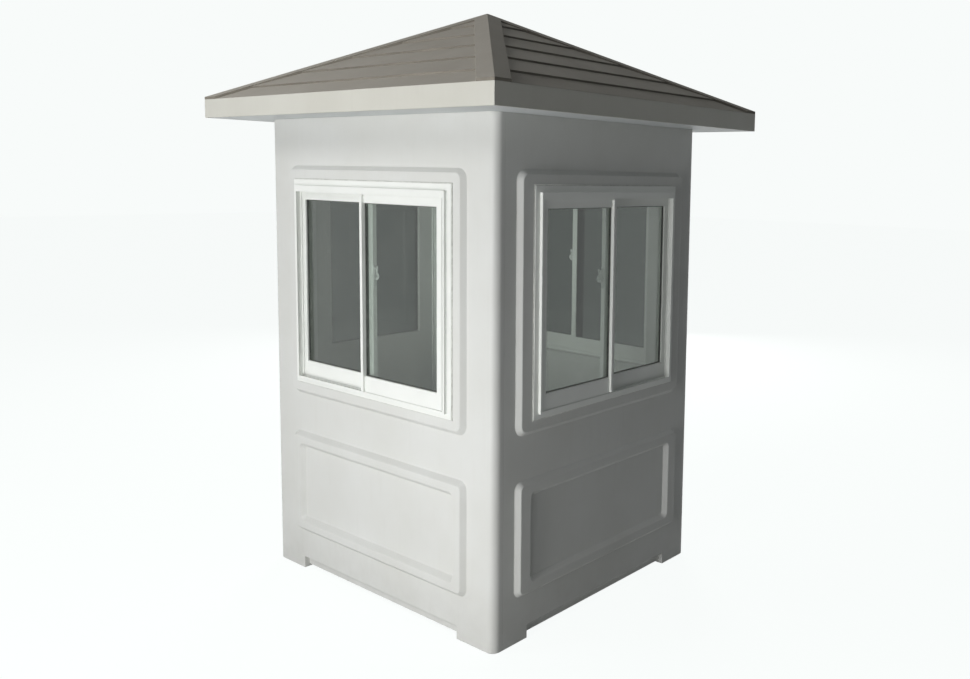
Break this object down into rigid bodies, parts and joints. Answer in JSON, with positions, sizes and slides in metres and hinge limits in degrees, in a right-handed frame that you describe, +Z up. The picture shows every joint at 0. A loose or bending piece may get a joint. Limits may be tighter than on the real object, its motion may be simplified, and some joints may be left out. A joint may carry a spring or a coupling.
{
  "type": "security guard booth",
  "caption": "Small square guard booth with moulded walls, sliding windows on three sides, a door and a low hipped roof with lapped courses.",
  "frame": {"origin": "middle of the booth's base, on the ground under the middle of the roof", "axes": "+Z up, -Y out of the front wall, +X out of the right wall, +Y out of the back wall, -X out of the door wall"},
  "size_m": [1.664, 1.524, 2.297],
  "materials": {
    "wall_gelcoat": "white gelcoat on glass fibre, satin",
    "roof_gelcoat": "taupe grey gelcoat on glass fibre, satin",
    "ceiling_gelcoat": "white glass-fibre sheet, matt",
    "tinted_glass": "grey-green float glass",
    "latch_metal": "plated die casting",
    "white_aluminium": "white powder coat on extruded aluminium",
    "hardware_steel": "brushed stainless steel",
    "floor_steel": "grey primer on steel tube",
    "floor_sheet": "grey vinyl sheet on board"
  },
  "bodies": {
    "root": {"back_wall": "wall_gelcoat", "back_window_frame": "white_aluminium", "back_window_inner_glass": "tinted_glass", "back_window_inner_sash": "white_aluminium", "back_window_latch": "latch_metal", "back_window_outer_glass": "tinted_glass", "back_window_outer_sash": "white_aluminium", "ceiling_panel": "ceiling_gelcoat", "door_frame": "white_aluminium", "door_glass": "tinted_glass", "door_handle": "hardware_steel", "door_hinge_high": "hardware_steel", "door_hinge_low": "hardware_steel", "door_hinge_mid": "hardware_steel", "door_leaf": "wall_gelcoat", "fascia": "wall_gelcoat", "floor_frame": "floor_steel", "floor_panel": "floor_sheet", "front_wall": "wall_gelcoat", "front_window_frame": "white_aluminium", "front_window_inner_glass": "tinted_glass", "front_window_inner_sash": "white_aluminium", "front_window_latch": "latch_metal", "front_window_outer_glass": "tinted_glass", "front_window_outer_sash": "white_aluminium", "left_wall_back": "wall_gelcoat", "left_wall_front": "wall_gelcoat", "left_wall_sill": "wall_gelcoat", "left_wall_top": "wall_gelcoat", "right_wall": "wall_gelcoat", "right_window_frame": "white_aluminium", "right_window_inner_glass": "tinted_glass", "right_window_inner_sash": "white_aluminium", "right_window_latch": "latch_metal", "right_window_outer_glass": "tinted_glass", "right_window_outer_sash": "white_aluminium", "roof_shell": "roof_gelcoat"}
  },
  "joints": []
}
